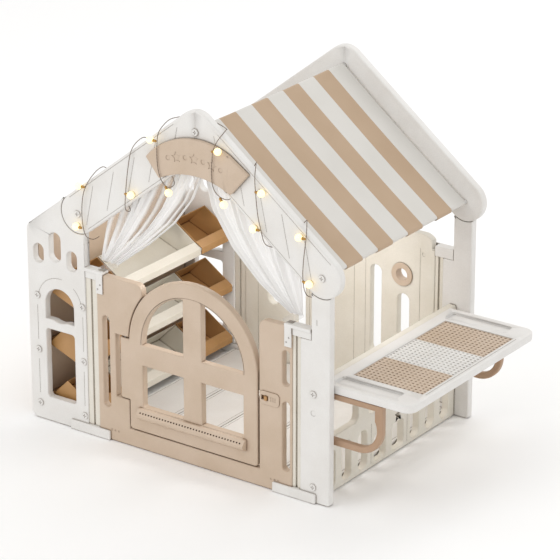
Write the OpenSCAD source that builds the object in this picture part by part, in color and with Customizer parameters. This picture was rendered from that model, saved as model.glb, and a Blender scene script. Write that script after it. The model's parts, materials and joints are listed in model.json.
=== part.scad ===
// Toddler playhouse: moulded wall panels, a gate with an arched door, a gabled
// roof frame with a stretched cover, a storage bay of tilted bins and a side counter.
// Origin on the floor at the middle of the house, +X to the counter, -Y to the front.

/* [House] */
// Width across the left panel and the right post
house_w = 1190; // [1000:10:1400]
// Depth over the front and rear panels
house_d = 834; // [740:2:1000]
// Thickness of every moulded panel
wall_t = 28; // [20:1:40]
// Width of the left end panels, which is the depth of the storage bay
bay_w = 240; // [220:5:320]
// Height of the gate and of the wide rear panel
gate_h = 571; // [520:1:700]
// Width of the gate and of the wide rear panel
gate_w = 765; // [640:5:900]
// Gap between the left panel and the gate, filled by a connector
corner_gap = 45; // [30:1:60]
// Width of the corner posts
post_w = 110; // [90:1:140]

/* [Roof] */
// Height of the ridge rod
ridge_z = 1129; // [950:1:1300]
// Height of the eave rods
eave_z = 759; // [700:1:900]
// Level distance from the ridge rod to an eave rod
half_span = 472; // [420:1:560]
// Distance from the house middle to the ridge
ridge_x = 93; // [40:1:150]
// Width of the gable boards
board_w = 136; // [110:1:170]
// Diameter of the ridge and eave rods
rod_d = 14; // [10:1:22]
// Thickness of the roof cover
cover_t = 2; // [1.5:0.1:4]
// Number of stripes on the cover
stripes = 9; // [5:2:15]
// Width of one stripe
stripe_w = 84.5; // [60:0.5:100]

/* [Door] */
// Width of the door leaf
leaf_w = 504; // [420:1:560]
// Height of the bottom edge of the leaf
leaf_z0 = 66; // [50:1:90]
// Height of the centre of the arch
arch_z = 370; // [330:1:420]
// Width of the leaf's border round the window
leaf_border = 54; // [40:1:70]
// Width of the glazing bars
bar_w = 72; // [40:1:90]
// Height of the hinge lug
lug_h = 210; // [120:1:240]
// Diameter of the hinge pins
pin_d = 10; // [8:0.5:14]
// Radial clearance of the pins in the lug
pin_fit = 0.05; // [0.02:0.01:0.1]
// Gap round the door leaf
leaf_gap = 5; // [3:0.5:8]

/* [Latch] */
// Height of the middle of the latch
latch_z = 312; // [250:1:400]
// Travel of the latch bolt
latch_travel = 12; // [8:1:20]
// Gap round the latch bolt
latch_fit = 0.5; // [0.3:0.1:1]

/* [Bins] */
// Number of tiers
tiers = 3; // [2:1:3]
// Height of the lip of the lowest bins
lip_z = 66; // [60:1:100]
// Height from tier to tier
tier_pitch = 191; // [170:1:230]
// Length of the end bins along the depth of the house
bin_len = 170; // [120:5:220]
// Gap between neighbouring bins
bin_gap = 6; // [3:1:20]
// Wall of the bins
bin_t = 3; // [2:0.5:5]
// Slope of the open side of the bins
bin_slope = 34; // [25:1:45]
// Diameter of the bin rods
bin_rod_d = 16; // [12:1:24]

/* [Counter] */
// Height of the counter top
counter_z = 400; // [360:1:480]
// Length of the counter
counter_len = 732; // [600:2:760]
// Reach of the counter from the low panel
counter_reach = 328; // [240:1:380]
// Thickness of the counter
counter_t = 28; // [22:1:36]
// Pitch of the holes in the plates
hole_pitch = 16; // [12:1:20]
// Holes across a plate
holes_across = 16; // [10:1:18]
// Holes along a plate
holes_along = 11; // [8:1:12]
// Diameter of the holes
hole_d = 8.5; // [5:0.5:10]

/* [Hidden] */
fit = 0.3;
seam = 0.6;
yf = -house_d / 2;
yb = house_d / 2;
yfi = yf + wall_t;
ybi = yb - wall_t;
x_left = -house_w / 2;
x_right = house_w / 2;
x_bay = x_left + bay_w;
x_gate = x_bay + corner_gap;
x_gate2 = x_gate + gate_w;
x_post = x_right - post_w;
gate_mid = (x_gate + x_gate2) / 2;

roof_a = atan((ridge_z - eave_z) / half_span);
board_r = board_w / 2;
board_len = half_span / cos(roof_a);
x_eave_l = ridge_x - half_span;
x_eave_r = ridge_x + half_span;
rod_r = rod_d / 2;

leaf_r = leaf_w / 2;
x_leaf = gate_mid - leaf_r;
x_leaf2 = gate_mid + leaf_r;
leaf_t = wall_t;
leaf_y = yf - 4;
pin_x = x_leaf - 25;
pin_y = yf + wall_t / 2;
lug_r = 17;
lug_z0 = leaf_z0 + 100;
lug_z1 = lug_z0 + lug_h;
lug_gap = 4;
pin_grip = 46;
pin_len = 2 * pin_grip + lug_gap;
win_r = leaf_r - leaf_border;
sill_z = leaf_z0 + 46;
sill_h = 40;
sill_d = 24;
sill_l = 424;
sill_ribs = 36;
upright_x2 = x_leaf2 + leaf_gap;

bolt_h = 24;
bolt_t = 15;
bolt_l = 54;
knob_w = 10;
latch_rest = 3;

lip_x = x_bay - 5;
tan_b = tan(bin_slope);
bin_back = -112;
rod_fx = lip_x - 9;
rod_bx = lip_x - 196;
rod_drop = bin_rod_d / 2;
bay_len = ybi - yfi;
wall_gap = 10;
mid_len = bay_len - 2 * bin_len - 2 * bin_gap - 2 * wall_gap;

clip_z = ridge_z - 74;
x_low = x_right - 53;
low_t = 27;
x_ctr2 = x_low + counter_reach;
plate_x = holes_across * hole_pitch;
plate_y = holes_along * hole_pitch;
plate_t = 7;
plate_x0 = x_low + 47;
plates = 3;
y_ctr = -17;

floor_t = 20;
block_h = 24;
boards_n = 5;
wire_r = 1.3;
wire_up = [0.8, 0.1, -0.6];
bulb_r = 12;
cap_r = 4.5;
cap_l = 12;

white = [0.93, 0.92, 0.91];
cream = [0.9, 0.88, 0.82];
beige = [0.79, 0.71, 0.63];
brown = [0.6, 0.44, 0.28];
grey = [0.8, 0.79, 0.78];
brass = [0.62, 0.45, 0.2];
glow = [1, 0.95, 0.75];
wire_c = [0.45, 0.38, 0.33];

// Routes of the two light wires, from the ridge down round each front board
WIRE_LEFT = [
    [92.8, -384, 1165], [40, -384, 1162], [0, -384, 1150], [-22, -402, 1140],
    [-32, -436, 1112], [-38, -440, 1070], [-38, -440, 1010], [-28, -440, 965],
    [-16, -428, 935], [-10, -404, 926], [-16, -384, 936], [-40, -383, 968],
    [-84, -383, 1014], [-118, -383, 1056], [-134, -402, 1056], [-150, -425, 1024],
    [-164, -427, 960], [-174, -427, 885], [-180, -424, 826], [-184, -404, 806],
    [-192, -384, 806], [-212, -383, 836], [-250, -383, 882], [-286, -383, 924],
    [-302, -402, 922], [-322, -425, 888], [-344, -427, 842], [-353, -427, 785],
    [-350, -427, 728], [-340, -424, 694], [-328, -404, 680], [-318, -386, 686]
];
WIRE_RIGHT = [
    [93.2, -384, 1165], [146, -384, 1162], [186, -384, 1150], [198, -404, 1152],
    [192, -436, 1128], [180, -443, 1098], [173, -441, 1060], [170, -440, 1010],
    [178, -440, 970], [192, -428, 944], [204, -404, 930], [212, -384, 938],
    [232, -383, 968], [266, -383, 1010], [296, -383, 1062], [310, -402, 1066],
    [322, -425, 1034], [326, -427, 985], [334, -427, 915], [346, -427, 868],
    [356, -424, 830], [364, -404, 812], [376, -384, 812], [400, -383, 842],
    [440, -383, 872], [482, -383, 916], [498, -402, 918], [512, -425, 885],
    [508, -427, 845], [503, -427, 800], [501, -427, 755], [505, -426, 715],
    [511, -418, 692], [515, -402, 682], [518, -386, 678], [528, -379, 680],
    [541, -377, 677], [545, -377, 671], [545, -377, 662.6]
];

// Bulb centres and the direction from each bulb to its socket in degrees
BULBS = [
    [[-360, -432, 863], 0], [[-375, -432, 722], 0], [[-151, -432, 876], 180],
    [[-61, -445, 1082], 0], [[-2, -432, 916], 122], [[200, -448, 1097], 190],
    [[208, -430, 922], 128], [[351, -432, 990], 180], [[320, -432, 869], 0],
    [[489, -432, 879], 0], [[527, -432, 736], 170]
];

// Lays an outline drawn in X and Z into a panel from depth y on
module slab(y, t) {
    translate([0, y + t, 0])
    rotate([90, 0, 0])
    linear_extrude(t)
    children();
}

module round_rect(x0, z0, x1, z1, r) {
    translate([x0 + r, z0])
    square([x1 - x0 - 2 * r, z1 - z0]);
    translate([x0, z0 + r])
    square([x1 - x0, z1 - z0 - 2 * r]);
    for (x = [x0 + r, x1 - r], z = [z0 + r, z1 - r])
        translate([x, z])
        circle(r, $fn = 48);
}

module star(r) {
    polygon([for (i = [0:9]) (i % 2 == 0 ? r : r * 0.45) * [sin(i * 36), cos(i * 36)]]);
}

// ---- gable boards ----

// A board with a round end at the eave and another at the ridge; side -1 is left
module board_2d(side, grow = 0) {
    translate([ridge_x, ridge_z])
    rotate(side < 0 ? 180 + roof_a : -roof_a) {
        translate([0, -board_r - grow])
        square([board_len, board_w + 2 * grow]);
        circle(board_r + grow, $fn = 96);
        translate([board_len, 0])
        circle(board_r + grow, $fn = 96);
    }
}

module gable_board(y, side, face) {
    plank = 5;
    color(white)
    difference() {
        slab(y, wall_t)
        intersection() {
            board_2d(side);
            translate([side < 0 ? ridge_x - 2 * half_span : ridge_x, 0])
            square([2 * half_span, 2 * ridge_z]);
        }
        for (i = [1:plank])
            translate([ridge_x + side * half_span * i / (plank + 0.6),
                       face, ridge_z - (ridge_z - eave_z) * i / (plank + 0.6)])
            rotate([0, -side * 12, 0])
            cube([2.5, 2.4, board_w * 1.02], center = true);
        for (s = [-1, 1])
            translate([ridge_x, face, ridge_z])
            rotate([0, side < 0 ? 180 - roof_a : roof_a, 0])
            translate([board_r * 0.9, 0, s * (board_r - 9)])
            translate([0, -1.2, -0.9])
            cube([board_len - board_r, 2.4, 1.8]);
    }
}

module front_board_left() {
    gable_board(yf, -1, yf);
}

module front_board_right() {
    gable_board(yf, 1, yf);
}

module back_board_left() {
    gable_board(ybi, -1, yb);
}

module back_board_right() {
    gable_board(ybi, 1, yb);
}

// ---- end panels with the arch window ----

// Height of the outer edge of the gable boards at x, left of the ridge
function roof_line(x) = ridge_z + board_r / cos(roof_a) - (ridge_x - x) * tan(roof_a);

module end_panel_2d() {
    corner = 26;
    crown = 30;
    cx = x_left + crown;
    cz = roof_line(cx) - crown / cos(roof_a);
    difference() {
        union() {
            translate([x_left, corner])
            square([bay_w, cz - corner]);
            translate([x_left + corner, 0])
            square([bay_w - corner, cz]);
            translate([x_left + corner, corner])
            circle(corner, $fn = 48);
            translate([cx, cz])
            circle(crown, $fn = 48);
            polygon([[cx, cz], [cx - crown * sin(roof_a), cz + crown * cos(roof_a)],
                     [x_bay, roof_line(x_bay)], [x_bay, cz]]);
        }
        board_2d(-1, seam);
        translate([x_left + 70, 365])
        arch_2d(118, 112);
        translate([x_left + 129, 214])
        round_rect(-59, -128, 59, 116, 12);
        round_rect(x_left + 26, 553, x_left + 68, 620, 20.9);
        round_rect(x_left + 92, 570, x_left + 140, 672, 23.9);
        round_rect(x_left + 164, 552, x_left + 206, 622, 20.9);
    }
}

module arch_2d(w, h) {
    square([w, h - w / 2]);
    translate([w / 2, h - w / 2])
    circle(w / 2, $fn = 64);
}

module end_panel(y, face) {
    color(white)
    difference() {
        slab(y, wall_t)
        end_panel_2d();
        // engraved lines between the screws and over the window
        for (x = [x_left + 38, x_bay - 14], z = [0:1])
            translate([x, face, lip_z + tier_pitch * (z + 0.5) - 8])
            cube([2.4, 2.4, tier_pitch - 70], center = true);
        translate([x_left + 132, face - 1.2, 425])
        rotate([-90, 0, 0])
        difference() {
            cylinder(r = 92, h = 2.4, $fn = 96);
            translate([0, 0, -1])
            cylinder(r = 89.6, h = 5, $fn = 96);
            translate([-200, -12, -1])
            cube([400, 300, 5]);
            translate([10, -200, -1])
            cube([48, 200, 5]);
        }
    }
}

module front_left_panel() {
    end_panel(yf, yf);
}

module back_left_panel() {
    end_panel(ybi, yb);
}

// ---- gate ----

module gate_2d() {
    hinge_top = 25;
    difference() {
        union() {
            round_rect(x_gate, 0, x_leaf + 52, gate_h, hinge_top);
            translate([x_gate, 0])
            square([60, 60]);
            round_rect(upright_x2, 0, x_gate2, gate_h, hinge_top);
            for (x = [x_gate, x_gate2 - 30])
                translate([x, gate_h - 30])
                square(30);
            translate([x_gate, 0])
            square([gate_w, leaf_z0 - leaf_gap]);
        }
        translate([gate_mid, arch_z])
        circle(leaf_r + leaf_gap, $fn = 128);
        translate([x_leaf - leaf_gap, leaf_z0 - leaf_gap])
        square([leaf_w + 2 * leaf_gap, arch_z - leaf_z0 + leaf_gap]);
        translate([pin_x - 33, lug_z0 - lug_gap])
        square([60, lug_h + 2 * lug_gap]);
        round_rect(x_gate + 21, 114, x_gate + 48, 433, 13);
        round_rect(x_gate2 - 38, 78, x_gate2 - 10, 315, 13);
        round_rect(x_gate2 - 38, 368, x_gate2 - 10, 488, 13);
    }
}

module gate_frame() {
    color(beige)
    difference() {
        slab(yf, wall_t)
        gate_2d();
        translate([pin_x, pin_y, lug_z0 - lug_gap - pin_grip])
        cylinder(d = pin_d, h = lug_h + 2 * (lug_gap + pin_grip), $fn = 48);
        // channel of the latch bolt and the window for its knob
        translate([upright_x2 - 1, yf + 6.5 - latch_fit, latch_z - bolt_h / 2 - latch_fit])
        cube([bolt_l + latch_rest + 3, bolt_t + 2 * latch_fit, bolt_h + 2 * latch_fit]);
        latch_window(yf - 1, 9);
        for (x = [x_gate + 66, x_gate2 - 66], i = [-1:1])
            translate([x + 14 * i, yf + 1.2, 38])
            rotate([90, 0, 0])
            linear_extrude(2)
            star(5);
    }
}

module latch_window(y, t) {
    translate([upright_x2 + latch_rest + 7, y, latch_z - 8])
    cube([knob_w + latch_travel + 5, t, 16]);
}

module latch_plate() {
    plate_t = 3;
    color(beige)
    difference() {
        slab(yf - plate_t, plate_t)
        round_rect(upright_x2 + 5, latch_z - 22, upright_x2 + 78, latch_z + 22, 12);
        latch_window(yf - plate_t - 1, plate_t + 2);
        for (i = [0:2])
            translate([upright_x2 + 48 + 8 * i, yf - plate_t, latch_z])
            cube([3, 1.6, 14], center = true);
    }
}

module latch_slider() {
    color(brown)
    union() {
        translate([upright_x2 + latch_rest, yf + 6.5, latch_z - bolt_h / 2])
        cube([bolt_l, bolt_t, bolt_h]);
        translate([upright_x2 + latch_rest + 9 + latch_travel, yf - 8, latch_z - 7])
        cube([knob_w, 14.6, 14]);
    }
}

module leaf_2d() {
    difference() {
        union() {
            translate([x_leaf, leaf_z0 + 12])
            square([leaf_w, arch_z - leaf_z0 - 12]);
            round_rect(x_leaf, leaf_z0, x_leaf2, arch_z, 12);
            translate([gate_mid, arch_z])
            circle(leaf_r, $fn = 128);
        }
        difference() {
            union() {
                translate([gate_mid, arch_z])
                circle(win_r, $fn = 128);
                round_rect(gate_mid - win_r, sill_z + sill_h, gate_mid + win_r, arch_z + 8, 8);
            }
            translate([gate_mid - bar_w / 2, 0])
            square([bar_w, 2 * arch_z]);
            translate([gate_mid - leaf_r, 297])
            square([leaf_w, bar_w]);
        }
    }
}

module door_leaf() {
    color(beige)
    difference() {
        union() {
            slab(leaf_y, leaf_t)
            leaf_2d();
            translate([pin_x, pin_y - 1, lug_z0])
            cylinder(r = lug_r, h = lug_h, $fn = 64);
            translate([pin_x, leaf_y, lug_z0])
            cube([30, leaf_t, lug_h]);
        }
        translate([pin_x, pin_y, lug_z0 - 1])
        cylinder(r = pin_d / 2 + pin_fit, h = lug_h + 2, $fn = 48);
        // pocket for the latch bolt
        translate([x_leaf2 - latch_travel, yf + 4, latch_z - bolt_h / 2 - 2])
        cube([latch_travel + 1, bolt_t + 5, bolt_h + 4]);
        // groove that follows the window
        translate([gate_mid, leaf_y + 1, arch_z])
        rotate([90, 0, 0])
        difference() {
            cylinder(r = win_r + 6, h = 3, $fn = 128);
            translate([0, 0, -1])
            cylinder(r = win_r + 4, h = 5, $fn = 128);
            translate([-leaf_w, -leaf_w, -1])
            cube([2 * leaf_w, leaf_w, 5]);
        }
    }
}

module door_sill() {
    color(beige)
    difference() {
        translate([gate_mid - sill_l / 2, 0, 0])
        rotate([90, 0, 90])
        linear_extrude(sill_l)
        polygon([[leaf_y, sill_z], [leaf_y - 8, sill_z], [leaf_y - sill_d, sill_z + 12],
                 [leaf_y - sill_d, sill_z + 20], [leaf_y - 10, sill_z + sill_h - 2],
                 [leaf_y, sill_z + sill_h - 2]]);
        for (i = [0:sill_ribs - 1])
            translate([gate_mid - sill_l / 2 + 15 + i * (sill_l - 30) / (sill_ribs - 1),
                       leaf_y - sill_d + 3, sill_z + 30])
            rotate([-38, 0, 0])
            cube([5, 30, 5], center = true);
    }
}

module door_hinge_pins() {
    color(grey)
    for (z = [lug_z0 - lug_gap - pin_grip, lug_z1 + lug_gap - pin_grip - lug_gap])
        translate([pin_x, pin_y, z])
        cylinder(d = pin_d, h = pin_len, $fn = 48);
}

// ---- posts and rear panels ----

module post_2d() {
    shoulder = gate_h - block_h;
    top = eave_z - board_r + 12;
    difference() {
        union() {
            round_rect(x_post, 0, x_right, shoulder, 8);
            translate([x_post, 0])
            square([post_w / 2, 60]);
            translate([x_post + 40, 400])
            square([post_w - 40, top - 400]);
        }
        board_2d(1, seam);
    }
}

module corner_post(y, face) {
    color(white)
    difference() {
        slab(y, wall_t)
        post_2d();
        translate([x_post + 62, face, 610])
        cube([3, 3, 18], center = true);
        translate([x_post + 50, face, 305])
        rotate([90, 0, 0])
        cylinder(r = 10, h = 3, center = true, $fn = 48);
    }
}

module front_right_post() {
    corner_post(yf, yf);
}

module back_right_post() {
    corner_post(ybi, yb);
}

module back_panel_2d() {
    dome = 612;
    difference() {
        union() {
            round_rect(x_gate, 0, x_gate2, dome, 48);
            translate([x_gate, 0])
            square([gate_w, 100]);
        }
        for (s = [-1, 1]) {
            round_rect(gate_mid + s * 153 - 22, 147, gate_mid + s * 153 + 22, 463, 21.9);
            round_rect(gate_mid + s * 262 - 23, 222, gate_mid + s * 262 + 23, 385, 22.9);
        }
        translate([gate_mid + 258, 454])
        circle(r = 31, $fn = 64);
        translate([x_gate - 1, gate_h - 3])
        square([12, 80]);
        translate([x_gate2 - 11, gate_h - 3])
        square([12, 80]);
    }
}

module back_panel() {
    color(cream)
    difference() {
        slab(ybi, wall_t)
        back_panel_2d();
        for (s = [-1, 1], x = [68, 113, 327])
            translate([gate_mid + s * x, ybi, 300])
            cube([2.4, 2.4, 520], center = true);
        translate([gate_mid + 340, ybi, 541])
        rotate([90, 0, 0])
        cylinder(r = 7, h = 3, center = true, $fn = 32);
    }
}

module porthole_ring() {
    color(beige)
    translate([gate_mid + 258, ybi - 6, 454])
    rotate([-90, 0, 0])
    difference() {
        union() {
            cylinder(r = 40, h = 6, $fn = 96);
            cylinder(r = 30.7, h = wall_t + 6, $fn = 96);
        }
        translate([0, 0, -1])
        cylinder(r = 21.5, h = wall_t + 8, $fn = 96);
    }
}

module left_wall_panel() {
    wall = 25;
    color(beige)
    difference() {
        translate([x_left + 2 + wall, yfi, 0])
        rotate([90, 0, -90])
        translate([-bay_len, 0, 0])
        linear_extrude(wall)
        round_rect(0, 0, bay_len, 640, 12);
        for (i = [1:3])
            translate([x_left + 2, yfi + bay_len * i / 4, 320])
            cube([2.4, 2.4, 560], center = true);
    }
}

module right_low_panel() {
    top = counter_z - 4;
    color(cream)
    difference() {
        translate([x_low - low_t, -bay_len / 2, 0])
        rotate([90, 0, 90])
        linear_extrude(low_t)
        difference() {
            round_rect(0, 0, bay_len, top, 10);
            translate([bay_len / 2, 0]) {
                for (s = [-1, 1]) {
                    for (x = [150, 240, 328])
                        round_rect(s * x - 26, 12, s * x + 26, 148, 25.9);
                    round_rect(s * 265 - 90, 190, s * 265 + 90, 335, 24);
                    round_rect(s * 52 - 33, 12, s * 52 + 33, 105, 14);
                    translate([s * 52, 128])
                    star(18);
                }
                round_rect(-120, 190, 120, 335, 24);
            }
        }
        for (s = [-1, 1])
            translate([x_low, s * 104, 85])
            cube([2.4, 2.4, 140], center = true);
    }
}

// ---- connectors, feet and screws ----

module connector_posts() {
    color(cream)
    for (y0 = [yf, ybi])
        for (p = [[x_bay, x_gate], [x_gate2, x_post]])
            translate([p[0], y0 + 4, 33])
            difference() {
                cube([p[1] - p[0], wall_t - 8, gate_h - 57]);
                translate([(p[1] - p[0]) / 2 - 4, -1, -1])
                cube([8, 7, gate_h]);
            }
}

// Cap over a corner gap, with a tab and two screw holes on the wide panel
module cap(x0, x1, tab_x, y0, out) {
    lip = 5;
    plate = 11;
    xa = min(x0, tab_x);
    xb = max(x1, tab_x + 28);
    face = out < 0 ? y0 : y0 + wall_t;
    tab_y = out < 0 ? face - lip : face;
    difference() {
        union() {
            translate([x0, y0, gate_h - block_h])
            cube([x1 - x0, wall_t, block_h + plate]);
            if (out < 0)
                translate([xa, tab_y, gate_h])
                cube([xb - xa, wall_t + lip, plate]);
            else
                translate([xa, tab_y, gate_h - block_h])
                cube([xb - xa, lip, block_h + plate]);
            translate([tab_x + 1, tab_y, gate_h - 66])
            cube([26, lip, 70]);
        }
        for (p = [[9, -50], [19, -34]])
            translate([tab_x + p[0], face + out * lip, gate_h + p[1]])
            rotate([90, 0, 0])
            cylinder(r = 3, h = 4, center = true, $fn = 24);
    }
}

module connector_caps() {
    post_side = x_post + 40;
    color(white) {
        cap(x_bay, x_gate, x_gate, yf, -1);
        cap(x_bay, x_gate, x_gate, ybi, 1);
        cap(x_gate2, post_side, x_gate2 - 28, yf, -1);
        cap(x_gate2, post_side, x_gate2 - 28, ybi, 1);
    }
}

// U-shaped foot that holds the bottom of a corner
module foot(x0, x1, web0, web1, y0) {
    skin = 8;
    for (y = [y0 - skin, y0 + wall_t])
        slab(y, skin)
        round_rect(x0, 0, abs(y) < yb ? min(x1, x_low - low_t) : x1, 33, 3);
    translate([web0, y0 - 1, 0])
    cube([web1 - web0, wall_t + 2, 33]);
}

module base_feet() {
    color(white)
    for (y0 = [yf, ybi]) {
        foot(x_bay - 70, x_gate + 47, x_bay, x_gate, y0);
        foot(x_gate2 - 71, x_post + 62, x_gate2, x_post, y0);
    }
}

module screw(x, z, y, out, r = 11) {
    translate([x, y, z])
    rotate([out < 0 ? 90 : -90, 0, 0])
    difference() {
        cylinder(r = r, h = 4, $fn = 48);
        for (a = [0, 90])
            rotate(a)
            translate([0, 0, 4])
            cube([r * 1.2, 3, 3], center = true);
    }
}

module panel_screws() {
    color(white) {
        for (t = [0:2], x = [rod_bx, rod_fx], s = [-1, 1])
            screw(x, lip_z + t * tier_pitch - rod_drop, s * yb, s);
        for (z = [54, 369], s = [-1, 1])
            screw(x_post + 50, z, s * yb, s);
    }
}

module roof_screws() {
    color(white)
    for (x = [x_eave_l, ridge_x, x_eave_r], s = [-1, 1])
        screw(x, x == ridge_x ? ridge_z : eave_z, s * yb, s);
}

// ---- sign ----

module sign_2d() {
    mid = ridge_x + 17;
    difference() {
        intersection() {
            translate([mid, 848])
            circle(r = 262, $fn = 128);
            polygon([[mid - 208, 1030], [mid - 145, 953], [mid - 100, 900], [mid + 110, 900],
                     [mid + 125, 1180], [mid - 208, 1180]]);
        }
        translate([mid - 10, 700])
        circle(r = 292, $fn = 128);
    }
    polygon([[mid + 105, 1077], [mid + 117, 1083], [mid + 190, 1035], [mid + 125, 960],
             [mid + 100, 968]]);
}

module welcome_sign() {
    sign_t = 18;
    mid = ridge_x + 17;
    color(beige)
    difference() {
        slab(yf - sign_t, sign_t)
        sign_2d();
        for (i = [-3:3])
            translate([mid - 10, yf - sign_t + 1.5, 700])
            rotate([90, i * 5.6, 0])
            linear_extrude(3)
            translate([0, 348])
            if (i % 2 == 0) star(19);
            else circle(r = 8, $fn = 32);
    }
}

// ---- rods and cover ----

module roof_rod(x, z) {
    translate([x, yfi, z])
    rotate([-90, 0, 0])
    cylinder(r = rod_r, h = bay_len, $fn = 48);
}

module ridge_rod() {
    color(grey)
    roof_rod(ridge_x, ridge_z);
}

module eave_rod_left() {
    color(grey)
    roof_rod(x_eave_l, eave_z);
}

module eave_rod_right() {
    color(grey)
    roof_rod(x_eave_r, eave_z);
}

module cover_2d(r) {
    translate([ridge_x, ridge_z])
    circle(r, $fn = 64);
    for (s = [-1, 1])
        translate([ridge_x, ridge_z])
        rotate(s < 0 ? 180 + roof_a : -roof_a) {
            translate([0, s < 0 ? -r : 0])
            square([board_len, r]);
            translate([board_len, 0])
            circle(r, $fn = 64);
        }
}

module roof_cover() {
    inner = rod_r + fit;
    cover_len = stripes * stripe_w;
    color(beige)
    slab(-cover_len / 2, cover_len)
    difference() {
        cover_2d(inner + cover_t);
        cover_2d(inner);
        // under the ridge rod the cover is open
        translate([ridge_x, ridge_z])
        polygon([[0, 0], [-24 * cos(roof_a), -24 * sin(roof_a)], [0, -40],
                 [24 * cos(roof_a), -24 * sin(roof_a)]]);
    }
}

// ---- curtains ----

module curtain(side) {
    foot_x = side < 0 ? x_gate + 14 : x_gate2 - 14;
    span = abs(foot_x - ridge_x);
    color(white)
    slab(yfi + 22, 12)
    polygon([[ridge_x + side * 2, clip_z], [ridge_x + side * 20, clip_z],
             [ridge_x + side * 150, 965], [ridge_x + side * 0.82 * span, 830],
             [foot_x + side * 12, 720], [foot_x + side * 8, gate_h + 20],
             [foot_x - side * 22, gate_h + 20],
             [ridge_x + side * 0.58 * span, 705],
             [ridge_x + side * 0.22 * span, 860],
             [ridge_x + side * 2, 985]]);
}

module curtain_left() {
    curtain(-1);
}

module curtain_right() {
    curtain(1);
}

module curtain_ties() {
    color(white)
    for (x = [x_gate + 22, x_gate2 - 22])
        translate([x - 18, yfi - 22, gate_h + 11])
        cube([36, 62, 8.7]);
}

// Block behind the apex of the front boards that holds the curtains' tops
module curtain_clip() {
    color(white)
    translate([ridge_x - 20, yfi, clip_z])
    cube([40, 34, 14]);
}

// ---- counter ----

module counter_frame() {
    x0 = x_low;
    tray = 55;
    field_y = plates * plate_y;
    y0 = y_ctr - counter_len / 2;
    color(white)
    difference() {
        translate([0, 0, counter_z - counter_t])
        linear_extrude(counter_t)
        difference() {
            union() {
                round_rect(x0, y0, x_ctr2, y0 + counter_len, 38);
                translate([x0, y0])
                square([60, counter_len]);
            }
            translate([plate_x0 + 8, y_ctr - field_y / 2 + 8])
            square([plate_x - 16, field_y - 16]);
        }
        translate([plate_x0, y_ctr - field_y / 2, counter_z - plate_t - 2])
        cube([plate_x, field_y, plate_t + 3]);
        for (s = [-1, 1])
            translate([0, 0, counter_z - 9])
            linear_extrude(10)
            round_rect(x0 + 30, y_ctr + s * (counter_len / 2 - 24 - tray / 2) - tray / 2,
                       x0 + 255, y_ctr + s * (counter_len / 2 - 24 - tray / 2) + tray / 2, 10);
        translate([plate_x0 + plate_x + 8, y_ctr - field_y / 2, counter_z - 1.5])
        cube([3, field_y, 2]);
    }
}

module counter_plate(i) {
    translate([plate_x0, y_ctr + (i - plates / 2) * plate_y, counter_z - plate_t - 2])
    linear_extrude(plate_t)
    difference() {
        translate([0.2, 0.2])
        square([plate_x - 0.4, plate_y - 0.4]);
        for (a = [0:holes_across - 1], b = [0:holes_along - 1])
            translate([(a + 0.5) * hole_pitch, (b + 0.5) * hole_pitch])
            circle(d = hole_d, $fn = 16);
    }
}

module counter_plate_front() {
    color(beige)
    counter_plate(0);
}

module counter_plate_middle() {
    color(white)
    counter_plate(1);
}

module counter_plate_rear() {
    color(beige)
    counter_plate(2);
}

// D-shaped bracket in the plane across the counter
module bracket(y) {
    under = counter_z - counter_t;
    reach = 222;
    drop = 176;
    bar = 22;
    color(brown)
    slab(y, 22)
    translate([x_low, under]) {
        difference() {
            union() {
                translate([0, -drop])
                square([reach - 88, drop]);
                translate([reach - 88, -drop + 88])
                circle(88, $fn = 96);
                translate([reach - 88, -88])
                square([88, 88]);
            }
            translate([bar, -drop + bar])
            square([reach - 88 - bar, drop - 2 * bar]);
            translate([reach - 88, -drop + 88])
            circle(66, $fn = 96);
            translate([reach - 88, -88])
            square([58, 66]);
            translate([-1, -drop + 60])
            square([bar + 2, 56]);
        }
    }
}

module counter_bracket_front() {
    bracket(y_ctr - counter_len / 2 + 4);
}

module counter_bracket_rear() {
    bracket(y_ctr + counter_len / 2 - 40);
}

// ---- storage bins ----

module bin_rods() {
    color(grey)
    for (t = [0:tiers - 1], x = [rod_bx, rod_fx])
        translate([x, yfi, lip_z + t * tier_pitch - rod_drop])
        rotate([-90, 0, 0])
        cylinder(d = bin_rod_d, h = bay_len, $fn = 48);
}

// Section of a bin in X and Z, from the front lip at the origin
module bin_out_2d() {
    polygon([[-20, 20 * tan_b], [bin_back, -bin_back * tan_b], [-186, 2], [-50, -50]]);
}

module bin_in_2d() {
    polygon([[-24, 24 * tan_b + 1], [bin_back + 3, (3 - bin_back) * tan_b + 1],
             [bin_back + 1, -bin_back * tan_b - 2.5], [-181, 4], [-51.5, -46], [-26, 12]]);
}

module bin_lip_2d() {
    polygon([[-22, 22 * tan_b + 0.6], [-22, 22 * tan_b - 3.8], [0, -3.8], [0, -24],
             [3, -24], [3, 0.6 - 3 * tan_b]]);
    polygon([[-206, fit], [-184, fit], [-180, 6], [-184, 8], [-188, 3.6], [-206, 3.6]]);
}

module bin(tier, y0, len, c) {
    color(c)
    translate([lip_x, y0, lip_z + tier * tier_pitch])
    difference() {
        union() {
            slab(0, len)
            bin_out_2d();
            slab(0, len)
            bin_lip_2d();
        }
        slab(bin_t, len - 2 * bin_t)
        bin_in_2d();
    }
}

bin_y0 = yfi + wall_gap;
bin_y1 = bin_y0 + bin_len + bin_gap;
bin_y2 = bin_y1 + mid_len + bin_gap;

module bin_low_front() {
    bin(0, bin_y0, bin_len, brown);
}

module bin_low_centre() {
    bin(0, bin_y1, mid_len, cream);
}

module bin_low_rear() {
    bin(0, bin_y2, bin_len, brown);
}

module bin_mid_front() {
    bin(1, bin_y0, bin_len, brown);
}

module bin_mid_centre() {
    bin(1, bin_y1, mid_len, cream);
}

module bin_mid_rear() {
    bin(1, bin_y2, bin_len, brown);
}

module bin_top_front() {
    bin(2, bin_y0, bin_len, brown);
}

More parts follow.
